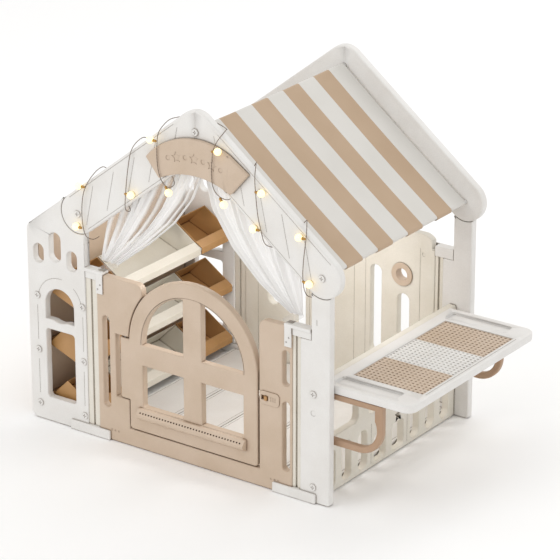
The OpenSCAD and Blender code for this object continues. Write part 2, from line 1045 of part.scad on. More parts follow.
module bin_top_centre() {
    bin(2, bin_y1, mid_len, cream);
}

module bin_top_rear() {
    bin(2, bin_y2, bin_len, brown);
}

// ---- string lights ----

// Point at u along a route, on a smooth curve through its points
function route_point(route, u) =
    let (last = len(route) - 1)
    let (i = min(floor(u), last - 1))
    let (t = u - i)
    let (a = route[max(i - 1, 0)], b = route[i], c = route[i + 1])
    let (d = route[min(i + 2, last)])
    b + t * (c - a) / 2 + t * t * (a - 2.5 * b + 2 * c - d / 2)
      + t * t * t * (1.5 * b - a / 2 - 1.5 * c + d / 2);

module wire(route) {
    sides = 8;
    total = 2 * (len(route) - 1);
    rings = [for (k = [0:total])
        let (p = route_point(route, k / 2))
        let (q = route_point(route, min(k + 0.2, total) / 2)
                 - route_point(route, max(k - 0.2, 0) / 2))
        let (d = q / norm(q))
        let (e1 = cross(d, wire_up) / norm(cross(d, wire_up)))
        let (e2 = cross(d, e1))
        [for (i = [0:sides - 1])
            p + wire_r * (cos(i * 360 / sides) * e1 + sin(i * 360 / sides) * e2)]];
    pts = [for (ring = rings, p = ring) p];
    skin = [for (k = [0:total - 1], i = [0:sides - 1])
        let (j = (i + 1) % sides)
        each [[k * sides + i, k * sides + j, (k + 1) * sides + j],
              [k * sides + i, (k + 1) * sides + j, (k + 1) * sides + i]]];
    ends = [[for (i = [sides - 1:-1:0]) i],
            [for (i = [0:sides - 1]) total * sides + i]];
    color(wire_c)
    polyhedron(pts, concat(skin, ends), 4);
}

module light_wire_left() {
    wire(WIRE_LEFT);
}

module light_wire_right() {
    wire(WIRE_RIGHT);
}

module light_sockets() {
    color(brass)
    for (b = BULBS)
        translate(b[0])
        rotate([0, 90 - b[1], 0])
        translate([0, 0, bulb_r + fit])
        cylinder(r = cap_r, h = cap_l, $fn = 32);
}

module light_bulbs() {
    color(glow)
    for (b = BULBS)
        translate(b[0])
        sphere(r = bulb_r, $fn = 48);
}

module battery_box() {
    color(white)
    difference() {
        translate([x_post + 46, yfi, 600])
        cube([40, 24, 62]);
        translate([x_post + 60, yfi + 22, 618])
        cube([8, 3, 16]);
    }
}

module battery_switch() {
    color(brown)
    translate([x_post + 60 + fit, yfi + 22 + fit, 618 + fit])
    cube([8 - 2 * fit, 4, 9]);
}

// ---- floor ----

module floor_boards() {
    span = x_low - low_t - x_bay;
    pitch = span / boards_n;
    color(white)
    for (i = [0:boards_n - 1])
        translate([x_bay + i * pitch + 1.5, yfi + 8, 0])
        difference() {
            cube([pitch - 3, bay_len - 16, floor_t]);
            for (x = [9, pitch - 3 - 12])
                translate([x, -1, floor_t - 1.5])
                cube([3, bay_len, 2]);
        }
}

front_left_panel();
back_left_panel();
left_wall_panel();
gate_frame();
door_leaf();
door_sill();
door_hinge_pins();
latch_plate();
latch_slider();
front_right_post();
back_right_post();
back_panel();
porthole_ring();
right_low_panel();
connector_posts();
connector_caps();
base_feet();
panel_screws();
roof_screws();
front_board_left();
front_board_right();
back_board_left();
back_board_right();
welcome_sign();
ridge_rod();
eave_rod_left();
eave_rod_right();
roof_cover();
curtain_left();
curtain_right();
curtain_ties();
curtain_clip();
counter_frame();
counter_plate_front();
counter_plate_middle();
counter_plate_rear();
counter_bracket_front();
counter_bracket_rear();
bin_rods();
bin_low_front();
bin_low_centre();
bin_low_rear();
bin_mid_front();
bin_mid_centre();
bin_mid_rear();
bin_top_front();
bin_top_centre();
bin_top_rear();
light_wire_left();
light_wire_right();
light_sockets();
light_bulbs();
battery_box();
battery_switch();
floor_boards();
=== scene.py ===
import bpy
import bmesh
import json
import math
from mathutils import Matrix, Vector, noise


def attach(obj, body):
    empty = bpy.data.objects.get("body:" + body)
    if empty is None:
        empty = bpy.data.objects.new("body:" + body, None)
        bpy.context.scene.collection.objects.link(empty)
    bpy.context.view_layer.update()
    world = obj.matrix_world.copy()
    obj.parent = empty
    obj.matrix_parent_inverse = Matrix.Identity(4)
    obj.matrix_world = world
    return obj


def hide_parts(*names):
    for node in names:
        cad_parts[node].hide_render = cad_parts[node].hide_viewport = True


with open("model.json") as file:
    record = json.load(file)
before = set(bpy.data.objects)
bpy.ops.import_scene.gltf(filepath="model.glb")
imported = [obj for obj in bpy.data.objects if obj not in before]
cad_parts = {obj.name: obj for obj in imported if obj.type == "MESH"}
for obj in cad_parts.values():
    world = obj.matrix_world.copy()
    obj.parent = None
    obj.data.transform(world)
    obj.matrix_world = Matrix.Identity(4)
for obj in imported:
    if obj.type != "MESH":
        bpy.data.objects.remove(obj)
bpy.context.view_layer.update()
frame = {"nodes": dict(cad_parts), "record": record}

# ---------- camera ----------
cameraSetup = {
    "azimuth": 35.41, "elevation": 22.09, "distance": 9.681,   # degrees, metres
    "target": (0.1607, -0.067, 0.5437), "lens": 194.85, "sensor": 36.0,
}


def placeCamera(setup):
    azimuth = math.radians(setup["azimuth"])
    elevation = math.radians(setup["elevation"])
    back = Vector((math.sin(azimuth) * math.cos(elevation),
                   -math.cos(azimuth) * math.cos(elevation), math.sin(elevation)))
    data = bpy.data.cameras.new("camera")
    data.lens = setup["lens"]
    data.sensor_width = setup["sensor"]
    camera = bpy.data.objects.new("camera", data)
    camera.location = Vector(setup["target"]) + back * setup["distance"]
    camera.rotation_euler = (-back).to_track_quat("-Z", "Y").to_euler()
    bpy.context.collection.objects.link(camera)
    bpy.context.scene.camera = camera


placeCamera(cameraSetup)
bpy.context.scene.view_settings.view_transform = "Standard"
print("stage: camera")

# ---------- node helpers ----------


def hexColor(value):
    # sRGB hex to linear RGBA
    parts = [int(value[i:i + 2], 16) / 255 for i in (1, 3, 5)]
    return tuple(c / 12.92 if c <= 0.04045 else ((c + 0.055) / 1.055) ** 2.4 for c in parts) + (1.0,)


def addNode(material, kind, settings=None, links=None):
    # one node, with its fields or socket values and the sockets that feed it
    tree = material.node_tree
    node = tree.nodes.new(kind)
    for key, value in (settings or {}).items():
        if key == "stops":
            for element, (spot, color) in zip(node.color_ramp.elements, value):
                element.position = spot
                element.color = color
        elif isinstance(key, str) and hasattr(node, key):
            setattr(node, key, value)
        else:
            node.inputs[key].default_value = value
    for key, source in (links or {}).items():
        tree.links.new(source, node.inputs[key])
    return node


def newMaterial(name, **shaderValues):
    material = bpy.data.materials.new(name)
    material.use_nodes = True
    shader = material.node_tree.nodes["Principled BSDF"]
    for key, value in shaderValues.items():
        shader.inputs[key.replace("_", " ")].default_value = value
    return material, shader


def connect(material, source, shader, socket):
    material.node_tree.links.new(source, shader.inputs[socket])


def grey(value):
    return (value, value, value, 1.0)


# seam is the colour of the painted shade that seams and recesses darken to
def mouldedPlastic(name, base, shade, rough, seam="#9A8E80", edge=0.0012):
    # HDPE, blow-moulded: satin, faintly mottled, with a fine sand-blast grain and soft waviness
    material, shader = newMaterial(name, IOR=1.54, Specular_IOR_Level=0.42)
    place = addNode(material, "ShaderNodeTexCoord").outputs["Object"]
    mottle = addNode(material, "ShaderNodeTexNoise", {"Scale": 9.0, "Detail": 4.0, "Roughness": 0.55},
                     {"Vector": place}).outputs["Fac"]
    speck = addNode(material, "ShaderNodeTexNoise", {"Scale": 420.0, "Detail": 2.0},
                    {"Vector": place}).outputs["Fac"]
    tint = addNode(material, "ShaderNodeValToRGB",
                   {"stops": [(0.3, hexColor(shade)), (0.62, hexColor(base))]},
                   {"Fac": mottle}).outputs["Color"]
    fleck = addNode(material, "ShaderNodeValToRGB",
                   {"stops": [(0.35, grey(0.95)), (0.6, grey(1.0))]},
                   {"Fac": speck}).outputs["Color"]
    mixed = addNode(material, "ShaderNodeMix", {"data_type": "RGBA", "blend_type": "MULTIPLY", 0: 1.0},
                    {6: tint, 7: fleck})
    # painted shade: ambient occlusion darkens the colour in seams, grooves and round the screws, where shade
    # falls
    hollow = addNode(material, "ShaderNodeAmbientOcclusion", {"samples": 6, "Distance": 0.007}).outputs["AO"]
    seamShadeRamp = addNode(material, "ShaderNodeValToRGB",
                   {"stops": [(0.35, hexColor(seam)), (0.85, grey(1.0))]},
                   {"Fac": hollow}).outputs["Color"]
    seamShaded = addNode(material, "ShaderNodeMix", {"data_type": "RGBA", "blend_type": "MULTIPLY", 0: 1.0},
                     {6: mixed.outputs[2], 7: seamShadeRamp})
    connect(material, seamShaded.outputs[2], shader, "Base Color")
    roughness = addNode(material, "ShaderNodeMapRange",
                        {"To Min": rough - 0.05, "To Max": rough + 0.07}, {"Value": mottle})
    connect(material, roughness.outputs["Result"], shader, "Roughness")
    rounded = addNode(material, "ShaderNodeBevel", {"samples": 4, "Radius": edge})
    wave = addNode(material, "ShaderNodeTexNoise", {"Scale": 14.0, "Detail": 1.0},
                   {"Vector": place}).outputs["Fac"]
    soft = addNode(material, "ShaderNodeBump", {"Strength": 0.35, "Distance": 0.0016},
                   {"Height": wave, "Normal": rounded.outputs["Normal"]})
    grain = addNode(material, "ShaderNodeBump", {"Strength": 0.22, "Distance": 0.00025},
                    {"Height": speck, "Normal": soft.outputs["Normal"]})
    connect(material, grain.outputs["Normal"], shader, "Normal")
    return material


def stripedPolyester(name, colors, stripe):
    # printed polyester oxford cloth: matt, with a visible plain weave
    material, shader = newMaterial(name, Roughness=0.86, Sheen_Weight=0.25, Sheen_Roughness=0.5,
                                   IOR=1.46, Specular_IOR_Level=0.25)
    place = addNode(material, "ShaderNodeTexCoord").outputs["Object"]
    parts = addNode(material, "ShaderNodeSeparateXYZ", links={"Vector": place})
    # stripes lie across Y: nine of them, a white one at each end
    steps = addNode(material, "ShaderNodeMath", {"operation": "MULTIPLY_ADD", 1: 1 / stripe, 2: 4.5},
                    {0: parts.outputs["Y"]})
    pair = addNode(material, "ShaderNodeMath", {"operation": "PINGPONG", 1: 1.0},
                   {0: addNode(material, "ShaderNodeMath", {"operation": "FLOOR"},
                               {0: steps.outputs[0]}).outputs[0]})
    cloud = addNode(material, "ShaderNodeTexNoise", {"Scale": 5.0, "Detail": 3.0},
                    {"Vector": place}).outputs["Fac"]
    light = addNode(material, "ShaderNodeValToRGB",
                   {"stops": [(0.3, hexColor(colors["whiteShade"])), (0.7, hexColor(colors["white"]))]},
                   {"Fac": cloud}).outputs["Color"]
    dark = addNode(material, "ShaderNodeValToRGB",
                   {"stops": [(0.3, hexColor(colors["beigeShade"])), (0.7, hexColor(colors["beige"]))]},
                   {"Fac": cloud}).outputs["Color"]
    stripes = addNode(material, "ShaderNodeMix", {"data_type": "RGBA"},
                      {0: pair.outputs[0], 6: light, 7: dark})
    # threads are 0.4 mm apart; drawn at 1.6 mm so that they show
    warp = addNode(material, "ShaderNodeTexWave", {"bands_direction": "Y", "Scale": 98.0, "Distortion": 0.3},
                   {"Vector": place}).outputs["Fac"]
    weft = addNode(material, "ShaderNodeTexWave", {"bands_direction": "Z", "Scale": 160.0, "Distortion": 0.3},
                   {"Vector": place}).outputs["Fac"]
    weave = addNode(material, "ShaderNodeMath", {"operation": "MAXIMUM"}, {0: warp, 1: weft}).outputs[0]
    thread = addNode(material, "ShaderNodeValToRGB",
                   {"stops": [(0.2, grey(0.93)), (0.8, grey(1.0))]},
                   {"Fac": weave}).outputs["Color"]
    cloth = addNode(material, "ShaderNodeMix", {"data_type": "RGBA", "blend_type": "MULTIPLY", 0: 1.0},
                    {6: stripes.outputs[2], 7: thread})
    connect(material, cloth.outputs[2], shader, "Base Color")
    bump = addNode(material, "ShaderNodeBump", {"Strength": 0.3, "Distance": 0.0003}, {"Height": weave})
    connect(material, bump.outputs["Normal"], shader, "Normal")
    return material


def sheerVoile(name, base):
    # cotton voile: thin open weave, denser to the eye where its folds turn edge on
    material, shader = newMaterial(name, Roughness=0.9, Sheen_Weight=0.35, Sheen_Roughness=0.4,
                                   IOR=1.46, Specular_IOR_Level=0.2)
    place = addNode(material, "ShaderNodeTexCoord").outputs["UV"]
    fold = addNode(material, "ShaderNodeAttribute", {"attribute_name": "foldDepth"}).outputs["Fac"]
    warp = addNode(material, "ShaderNodeTexWave", {"bands_direction": "X", "Scale": 130.0},
                   {"Vector": place}).outputs["Fac"]
    weft = addNode(material, "ShaderNodeTexWave", {"bands_direction": "Y", "Scale": 130.0},
                   {"Vector": place}).outputs["Fac"]
    weave = addNode(material, "ShaderNodeMath", {"operation": "MAXIMUM"}, {0: warp, 1: weft}).outputs[0]
    tint = addNode(material, "ShaderNodeValToRGB",
                   {"stops": [(0.1, hexColor(base["shade"])), (0.7, hexColor(base["cloth"]))]},
                   {"Fac": weave}).outputs["Color"]
    connect(material, tint, shader, "Base Color")
    alpha = addNode(material, "ShaderNodeMapRange", {"To Min": base["thin"], "To Max": 1.0,
                                                     "From Min": 0.12, "From Max": 0.5}, {"Value": fold})
    connect(material, alpha.outputs["Result"], shader, "Alpha")
    bump = addNode(material, "ShaderNodeBump", {"Strength": 0.2, "Distance": 0.0002}, {"Height": weave})
    connect(material, bump.outputs["Normal"], shader, "Normal")
    return material


def coatedTube(name, base, shade):
    # powder-coated steel tube: fine orange peel, half gloss
    material, shader = newMaterial(name, Roughness=0.34, IOR=1.5, Coat_Weight=0.3,
                                   Coat_Roughness=0.2)
    place = addNode(material, "ShaderNodeTexCoord").outputs["Object"]
    peel = addNode(material, "ShaderNodeTexNoise", {"Scale": 300.0, "Detail": 3.0},
                   {"Vector": place}).outputs["Fac"]
    tint = addNode(material, "ShaderNodeValToRGB", {"stops": [(0.3, hexColor(shade)), (0.7, hexColor(base))]},
                   {"Fac": peel}).outputs["Color"]
    connect(material, tint, shader, "Base Color")
    bump = addNode(material, "ShaderNodeBump", {"Strength": 0.15, "Distance": 0.0003}, {"Height": peel})
    connect(material, bump.outputs["Normal"], shader, "Normal")
    return material


def brushedBrass(name, base, shade):
    # turned brass sleeve: fine lines round it, slightly dulled
    material, shader = newMaterial(name, Metallic=0.85, Roughness=0.36)
    place = addNode(material, "ShaderNodeTexCoord").outputs["Object"]
    stretched = addNode(material, "ShaderNodeMapping", {"Scale": (1400.0, 200.0, 1400.0)}, {"Vector": place})
    lines = addNode(material, "ShaderNodeTexNoise", {"Scale": 1.0, "Detail": 2.0},
                    {"Vector": stretched.outputs["Vector"]}).outputs["Fac"]
    tint = addNode(material, "ShaderNodeValToRGB", {"stops": [(0.3, hexColor(shade)), (0.7, hexColor(base))]},
                   {"Fac": lines}).outputs["Color"]
    connect(material, tint, shader, "Base Color")
    rough = addNode(material, "ShaderNodeMapRange", {"To Min": 0.28, "To Max": 0.45}, {"Value": lines})
    connect(material, rough.outputs["Result"], shader, "Roughness")
    return material


def frostedBulb(name, base, glow, strength):
    # frosted globe over a warm LED: brightest in its middle, milky at its rim
    material, shader = newMaterial(name, Roughness=0.3, IOR=1.5, Transmission_Weight=0.1,
                                   Emission_Strength=strength, Emission_Color=hexColor(glow))
    place = addNode(material, "ShaderNodeTexCoord").outputs["Object"]
    frost = addNode(material, "ShaderNodeTexNoise", {"Scale": 500.0, "Detail": 2.0},
                    {"Vector": place}).outputs["Fac"]
    tint = addNode(material, "ShaderNodeValToRGB", {"stops": [(0.3, hexColor(glow)), (0.7, hexColor(base))]},
                   {"Fac": frost}).outputs["Color"]
    connect(material, tint, shader, "Base Color")
    bump = addNode(material, "ShaderNodeBump", {"Strength": 0.1, "Distance": 0.0002}, {"Height": frost})
    connect(material, bump.outputs["Normal"], shader, "Normal")
    return material


def wireSheath(name, base, shade):
    # enamelled copper pair in clear PVC, twisted: dark stripes every few millimetres
    material, shader = newMaterial(name, Roughness=0.4, IOR=1.53)
    place = addNode(material, "ShaderNodeTexCoord").outputs["Object"]
    twist = addNode(material, "ShaderNodeTexWave",
                    {"bands_direction": "DIAGONAL", "Scale": 60.0, "Distortion": 1.5},
                    {"Vector": place}).outputs["Fac"]
    tint = addNode(material, "ShaderNodeValToRGB", {"stops": [(0.3, hexColor(shade)), (0.7, hexColor(base))]},
                   {"Fac": twist}).outputs["Color"]
    connect(material, tint, shader, "Base Color")
    return material


clothColors = {"white": "#DDDAD5", "whiteShade": "#D6D3CD", "beige": "#BFA68C", "beigeShade": "#B89E83"}
# the fourth colour given to mouldedPlastic, or its default, is the painted shade in its seams and recesses
finishes = {
    "white_plastic": mouldedPlastic("moulded white HDPE", "#E7E5E2", "#E1DEDA", 0.42),
    "cream_plastic": mouldedPlastic("moulded cream HDPE", "#E5E0D5", "#DED8CB", 0.45),
    "beige_plastic": mouldedPlastic("moulded beige HDPE", "#CDB9A5", "#C6B19B", 0.44, "#8C6B4C"),
    "brown_plastic": mouldedPlastic("moulded caramel PP", "#BC905E", "#AF8451", 0.4, "#7A4E24"),
    "painted_tube": coatedTube("powder-coated tube", "#E3E2E0", "#D6D5D3"),
    "striped_fabric": stripedPolyester("striped polyester oxford", clothColors, 0.0845),
    "sheer_fabric": sheerVoile("cotton voile", {"cloth": "#F8F7F6", "shade": "#EDEBEA", "thin": 0.14}),
    "wire_sheath": wireSheath("twisted light wire", "#8A7868", "#5E5047"),
    "socket_brass": brushedBrass("turned brass", "#C59A57", "#A97F42"),
    "bulb_glass": frostedBulb("frosted LED globe", "#FFF6D8", "#FFE9A8", 0.9),
}
# the counter's brackets are a paler caramel than the bins
# its last colour is the painted shade in the brackets' seams and recesses
bracketPlastic = mouldedPlastic("moulded tan PP", "#B3947A", "#AA8A6E", 0.42, "#8C6540")

slotOf = {part["node"]: part["material_slot"] for part in frame["record"]["subparts"]}
bodyOf = {node: body for body, nodes in frame["record"]["behaviour"]["bodies"].items() for node in nodes}
for nodeName, nodeObject in frame["nodes"].items():
    nodeObject.data.materials.clear()
    nodeObject.data.materials.append(finishes[slotOf[nodeName]])
print("stage: materials")

# ---------- finished pieces ----------


def finishPiece(name, bm, body, slot, material=None, nodes=(), smooth=40):
    mesh = bpy.data.meshes.new(name)
    bm.to_mesh(mesh)
    bm.free()
    for face in mesh.polygons:
        face.use_smooth = True
    mesh.set_sharp_from_angle(angle=math.radians(smooth))
    mesh.materials.append(material or finishes[slot])
    piece = bpy.data.objects.new(name, mesh)
    bpy.context.collection.objects.link(piece)
    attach(piece, body)
    if nodes:
        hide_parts(*nodes)
    return piece


# ---------- string lights ----------
lightWires = {
    "diameter": 0.0026,
    "left": [
        (92.8, -384, 1165), (40, -384, 1162), (0, -384, 1150), (-22, -402, 1140),
        (-32, -436, 1112), (-38, -440, 1070), (-38, -440, 1010), (-28, -440, 965),
        (-16, -428, 935), (-10, -404, 926), (-16, -384, 936), (-40, -383, 968),
        (-84, -383, 1014), (-118, -383, 1056), (-134, -402, 1056), (-150, -425, 1024),
        (-164, -427, 960), (-174, -427, 885), (-180, -424, 826), (-184, -404, 806),
        (-192, -384, 806), (-212, -383, 836), (-250, -383, 882), (-286, -383, 924),
        (-302, -402, 922), (-322, -425, 888), (-344, -427, 842), (-353, -427, 785),
        (-350, -427, 728), (-340, -424, 694), (-328, -404, 680), (-318, -386, 686)],
    "right": [
        (93.2, -384, 1165), (146, -384, 1162), (186, -384, 1150), (198, -404, 1152),
        (192, -436, 1128), (180, -443, 1098), (173, -441, 1060), (170, -440, 1010),
        (178, -440, 970), (192, -428, 944), (204, -404, 930), (212, -384, 938),
        (232, -383, 968), (266, -383, 1010), (296, -383, 1062), (310, -402, 1066),
        (322, -425, 1034), (326, -427, 985), (334, -427, 915), (346, -427, 868),
        (356, -424, 830), (364, -404, 812), (376, -384, 812), (400, -383, 842),
        (440, -383, 872), (482, -383, 916), (498, -402, 918), (512, -425, 885),
        (508, -427, 845), (503, -427, 800), (501, -427, 755), (505, -426, 715),
        (511, -418, 692), (515, -402, 682), (518, -386, 678), (528, -379, 680),
        (541, -377, 677), (545, -377, 671), (545, -377, 662.6)],
}


def smoothRoute(points, steps):
    # the same curve through the points as the CAD wire follows
    rows = [Vector(p) / 1000 for p in points]
    last = len(rows) - 1
    found = []
    for i in range(last):
        a, b, c, d = rows[max(i - 1, 0)], rows[i], rows[i + 1], rows[min(i + 2, last)]
        for k in range(steps):
            t = k / steps
            found.append(b + t * (c - a) / 2 + t ** 2 * (a - 2.5 * b + 2 * c - d / 2)
                         + t ** 3 * (1.5 * b - a / 2 - 1.5 * c + d / 2))
    return found + [rows[-1]]


def layWire(side, node):
    route = smoothRoute(lightWires[side], 8)
    curve = bpy.data.curves.new(node, "CURVE")
    curve.dimensions = "3D"
    curve.bevel_depth = lightWires["diameter"] / 2
    curve.bevel_resolution = 3
    curve.use_fill_caps = True
    spline = curve.splines.new("POLY")
    spline.points.add(len(route) - 1)
    for point, place in zip(spline.points, route):
        point.co = (*place, 1.0)
    curve.materials.append(finishes["wire_sheath"])
    wire = bpy.data.objects.new("wire_" + side, curve)
    bpy.context.collection.objects.link(wire)
    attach(wire, "house")
    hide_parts(node)


lightBulbs = {
    "radius": 0.012,
    # centre in millimetres and the direction to the socket in degrees
    "places": [
        ((-360, -432, 863), 0), ((-375, -432, 722), 0), ((-151, -432, 876), 180),
        ((-61, -445, 1082), 0), ((-2, -432, 916), 122), ((200, -448, 1097), 190),
        ((208, -430, 922), 128), ((351, -432, 990), 180), ((320, -432, 869), 0),
        ((489, -432, 879), 0), ((527, -432, 736), 170)],
    # radius and height of the globe's outline, in bulb radii, and of the sleeve in millimetres
    "globe": [(0, -1), (0.38, -0.925), (0.7, -0.714), (0.92, -0.39), (1, 0), (0.92, 0.39),
              (0.74, 0.67), (0.52, 0.87), (0.4, 1.02)],
    "sleeve": [(0, 11.6), (4.4, 11.6), (4.8, 12.2), (4.8, 13.6), (4.3, 14.2), (4.3, 21.4),
               (3.9, 22.4), (2.2, 23.4), (1.6, 25.4), (0, 25.8)],
}


def lathe(outline, steps):
    # spins an outline of (radius, height) about Z
    bm = bmesh.new()
    verts = [bm.verts.new((r, 0, z)) for r, z in outline]
    edges = [bm.edges.new(pair) for pair in zip(verts, verts[1:])]
    bmesh.ops.spin(bm, geom=verts + edges, cent=(0, 0, 0), axis=(0, 0, 1), dvec=(0, 0, 0),
                   angle=2 * math.pi, steps=steps, use_merge=True)
    bmesh.ops.remove_doubles(bm, verts=bm.verts, dist=1e-6)
    bmesh.ops.recalc_face_normals(bm, faces=bm.faces)
    return bm


def repeated(shape, places):
    # one mesh with a copy of shape at each matrix
    mesh = bpy.data.meshes.new("copy")
    shape.to_mesh(mesh)
    shape.free()
    whole = bmesh.new()
    for place in places:
        before = len(whole.verts)
        whole.from_mesh(mesh)
        whole.verts.ensure_lookup_table()
        bmesh.ops.transform(whole, matrix=place, verts=whole.verts[before:])
    bpy.data.meshes.remove(mesh)
    return whole


def bulbMatrix(centre, angle):
    turn = Matrix.Rotation(math.radians(90 - angle), 4, "Y")
    return Matrix.Translation(Vector(centre) / 1000) @ turn


layWire("left", "light_wire_left")
layWire("right", "light_wire_right")
bulbPlaces = [bulbMatrix(*p) for p in lightBulbs["places"]]
globe = lathe([(r * lightBulbs["radius"], z * lightBulbs["radius"]) for r, z in lightBulbs["globe"]], 32)
finishPiece("bulb_globes", repeated(globe, bulbPlaces), "house", "bulb_glass", nodes=["light_bulbs"],
            smooth=60)
sleeve = lathe([(r / 1000, z / 1000) for r, z in lightBulbs["sleeve"]], 24)
finishPiece("bulb_sleeves", repeated(sleeve, bulbPlaces), "house", "socket_brass", nodes=["light_sockets"])
print("stage: string lights")

# ---------- rounded mouldings ----------
# the cover's sizes in metres; the ridge also places the boards' seam
roofCover = {
    "ridge": (0.093, 1.129), "eaveDrop": 0.370, "halfSpan": 0.472, "rod": 0.007,
    "stripe": 0.0845, "stripes": 9, "sag": 0.004, "cloth": 0.0009,
}
# edge radius of each moulding in millimetres
edgeRounds = {
    "front_left_panel": 4, "back_left_panel": 4, "left_wall_panel": 4, "gate_frame": 4.5, "door_leaf": 5,
    "front_right_post": 4.5, "back_right_post": 4.5, "back_panel": 4, "right_low_panel": 4,
    "front_board_left": 5, "front_board_right": 5, "back_board_left": 5, "back_board_right": 5,
    "welcome_sign": 4, "counter_frame": 5, "counter_bracket_front": 5, "counter_bracket_rear": 5,
    "connector_caps": 1.6, "base_feet": 1.6, "porthole_ring": 1.8, "floor_boards": 1.5,
    "bin_low_front": 1.2, "bin_low_centre": 1.2, "bin_low_rear": 1.2,
    "bin_mid_front": 1.2, "bin_mid_centre": 1.2, "bin_mid_rear": 1.2,
    "bin_top_front": 1.2, "bin_top_centre": 1.2, "bin_top_rear": 1.2,
}


def reach(face, edge):
    # how far a face extends from one of its edges
    start = edge.verts[0].co
    along = (edge.verts[1].co - start).normalized()
    return max(((v.co - start) - (v.co - start).dot(along) * along).length for v in face.verts)


# the latch pocket is narrow, so its rims stay sharp: its reach in X and Z, in metres
latchPocket = {"x": (0.300, 0.362), "z": (0.290, 0.330)}


def byLatch(edge):
    (x0, x1), (z0, z1) = latchPocket["x"], latchPocket["z"]
    return all(x0 < v.co.x < x1 and z0 < v.co.z < z1 for v in edge.verts)


def onRidgeSeam(edge):
    # the boards butt at the ridge, and that seam isn't rounded
    return all(abs(v.co.x - roofCover["ridge"][0]) <= 0.0007 for v in edge.verts)


def fillFlats(bm):
    # a flat face with windows in it is one region: its outlines are filled afresh
    flats = {}
    for face in bm.faces:
        if len(face.verts) > 4:
            n = face.normal
            key = (round(n.x, 2), round(n.y, 2), round(n.z, 2), round(n.dot(face.verts[0].co), 4))
            flats.setdefault(key, []).append(face)
    for key, faces in flats.items():
        inside = set(faces)
        outline = [e for e in {e for f in faces for e in f.edges}
                   if sum(f in inside for f in e.link_faces) == 1]
        normal = faces[0].normal.copy()
        bmesh.ops.delete(bm, geom=faces, context="FACES_KEEP_BOUNDARY")
        made = bmesh.ops.triangle_fill(bm, edges=outline, use_beauty=True, normal=normal)["geom"]
        for face in made:
            if isinstance(face, bmesh.types.BMFace) and face.normal.dot(normal) < 0:
                face.normal_flip()
    bmesh.ops.remove_doubles(bm, verts=bm.verts, dist=0.00001)
    bmesh.ops.recalc_face_normals(bm, faces=bm.faces)


def roundEdges(nodeName, radius):
    bm = bmesh.new()
    bm.from_mesh(frame["nodes"][nodeName].data)
    bmesh.ops.remove_doubles(bm, verts=bm.verts, dist=0.00002)
    bmesh.ops.dissolve_limit(bm, angle_limit=math.radians(0.6), verts=bm.verts, edges=bm.edges)
    sharp = [e for e in bm.edges
             if len(e.link_faces) == 2 and e.calc_face_angle(0) > math.radians(38) and e.is_convex
             and min(reach(f, e) for f in e.link_faces) > 2.1 * radius
             and not onRidgeSeam(e) and not byLatch(e)]
    bmesh.ops.bevel(bm, geom=sharp, offset=radius, offset_type="OFFSET", affect="EDGES", segments=3,
                    profile=0.5, material=-1, clamp_overlap=False, loop_slide=False)
    fillFlats(bm)
    print("rounded", nodeName, len(sharp))
    return bm


for nodeName, radius in edgeRounds.items():
    moulding = roundEdges(nodeName, radius / 1000)
    material = bracketPlastic if "bracket" in nodeName else None
    piece = finishPiece(nodeName + "_moulding", moulding, bodyOf[nodeName], slotOf[nodeName], material,
                        [nodeName], smooth=50)
    weighted = piece.modifiers.new("weighted normals", "WEIGHTED_NORMAL")
    weighted.keep_sharp = True
print("stage: mouldings")

# ---------- roof cover ----------


def coverSection(setup, tuck, grow):
    # outline in X and Z from the left hem over the ridge to the right hem
    slope = math.atan2(setup["eaveDrop"], setup["halfSpan"])
    reachOut = math.hypot(setup["eaveDrop"], setup["halfSpan"])
    radius = setup["rod"] + setup["cloth"] + 0.0003
    ridge = Vector(setup["ridge"])
    half = []
    for k in range(5):
        turn = math.pi / 2 - slope * k / 4
        half.append(Vector((math.cos(turn), math.sin(turn))) * radius)
    down = Vector((math.cos(slope), -math.sin(slope)))
    out = Vector((math.sin(slope), math.cos(slope)))
    for k in range(1, 40):
        u = k / 40
        half.append(down * reachOut * u + out * (radius - setup["sag"] * math.sin(math.pi * u)))
    eave = down * reachOut
    for k in range(13):
        turn = math.pi / 2 - slope - math.radians(tuck) * k / 12
        r = radius + grow * k / 12
        half.append(eave + Vector((math.cos(turn), math.sin(turn))) * r)
    left = [Vector((-p.x, p.y)) for p in reversed(half[1:])]
    return [ridge + p for p in left + half]


def buildCover(setup):
    bm = bmesh.new()
    uvs = bm.loops.layers.uv.new("clothUV")
    rowsPerStripe = 12
    width = setup["stripe"] * setup["stripes"]
    for stripe in range(setup["stripes"]):
        brown = stripe % 2 == 1
        # brown stripes turn right round the eave rods, white ones stop on them
        section = coverSection(setup, 205 if brown else 62, 0.0022 if brown else 0.0)
        previous = None
        for row in range(rowsPerStripe + 1):
            y = (stripe + row / rowsPerStripe) * setup["stripe"] - width / 2
            line = []
            for i, p in enumerate(section):
                inner = 18 < i < len(section) - 18
                ripple = noise.noise(Vector((p.x * 7, y * 9, 0.3))) * 0.0011 if inner else 0
                pull = 0.0012 * math.cos(math.pi * y / (width / 2)) if inner else 0
                line.append((bm.verts.new((p.x, y, p.y + ripple - pull * 0.6)), y, i))
            if previous:
                for a, b, c, d in zip(previous, previous[1:], line[1:], line):
                    face = bm.faces.new((a[0], d[0], c[0], b[0]))
                    for loop, spot in zip(face.loops, (a, d, c, b)):
                        loop[uvs].uv = (spot[1], spot[2] * 0.014)
            previous = line
    bmesh.ops.remove_doubles(bm, verts=bm.verts, dist=1e-6)
    bmesh.ops.recalc_face_normals(bm, faces=bm.faces)
    return bm


coverMesh = buildCover(roofCover)
coverArea = sum(f.calc_area() for f in coverMesh.faces)
cover = finishPiece("roof_cover_cloth", coverMesh, "house", "striped_fabric", nodes=["roof_cover"], smooth=60)
thick = cover.modifiers.new("cloth thickness", "SOLIDIFY")
thick.thickness = roofCover["cloth"]
thick.offset = 0
print("stage: roof cover")

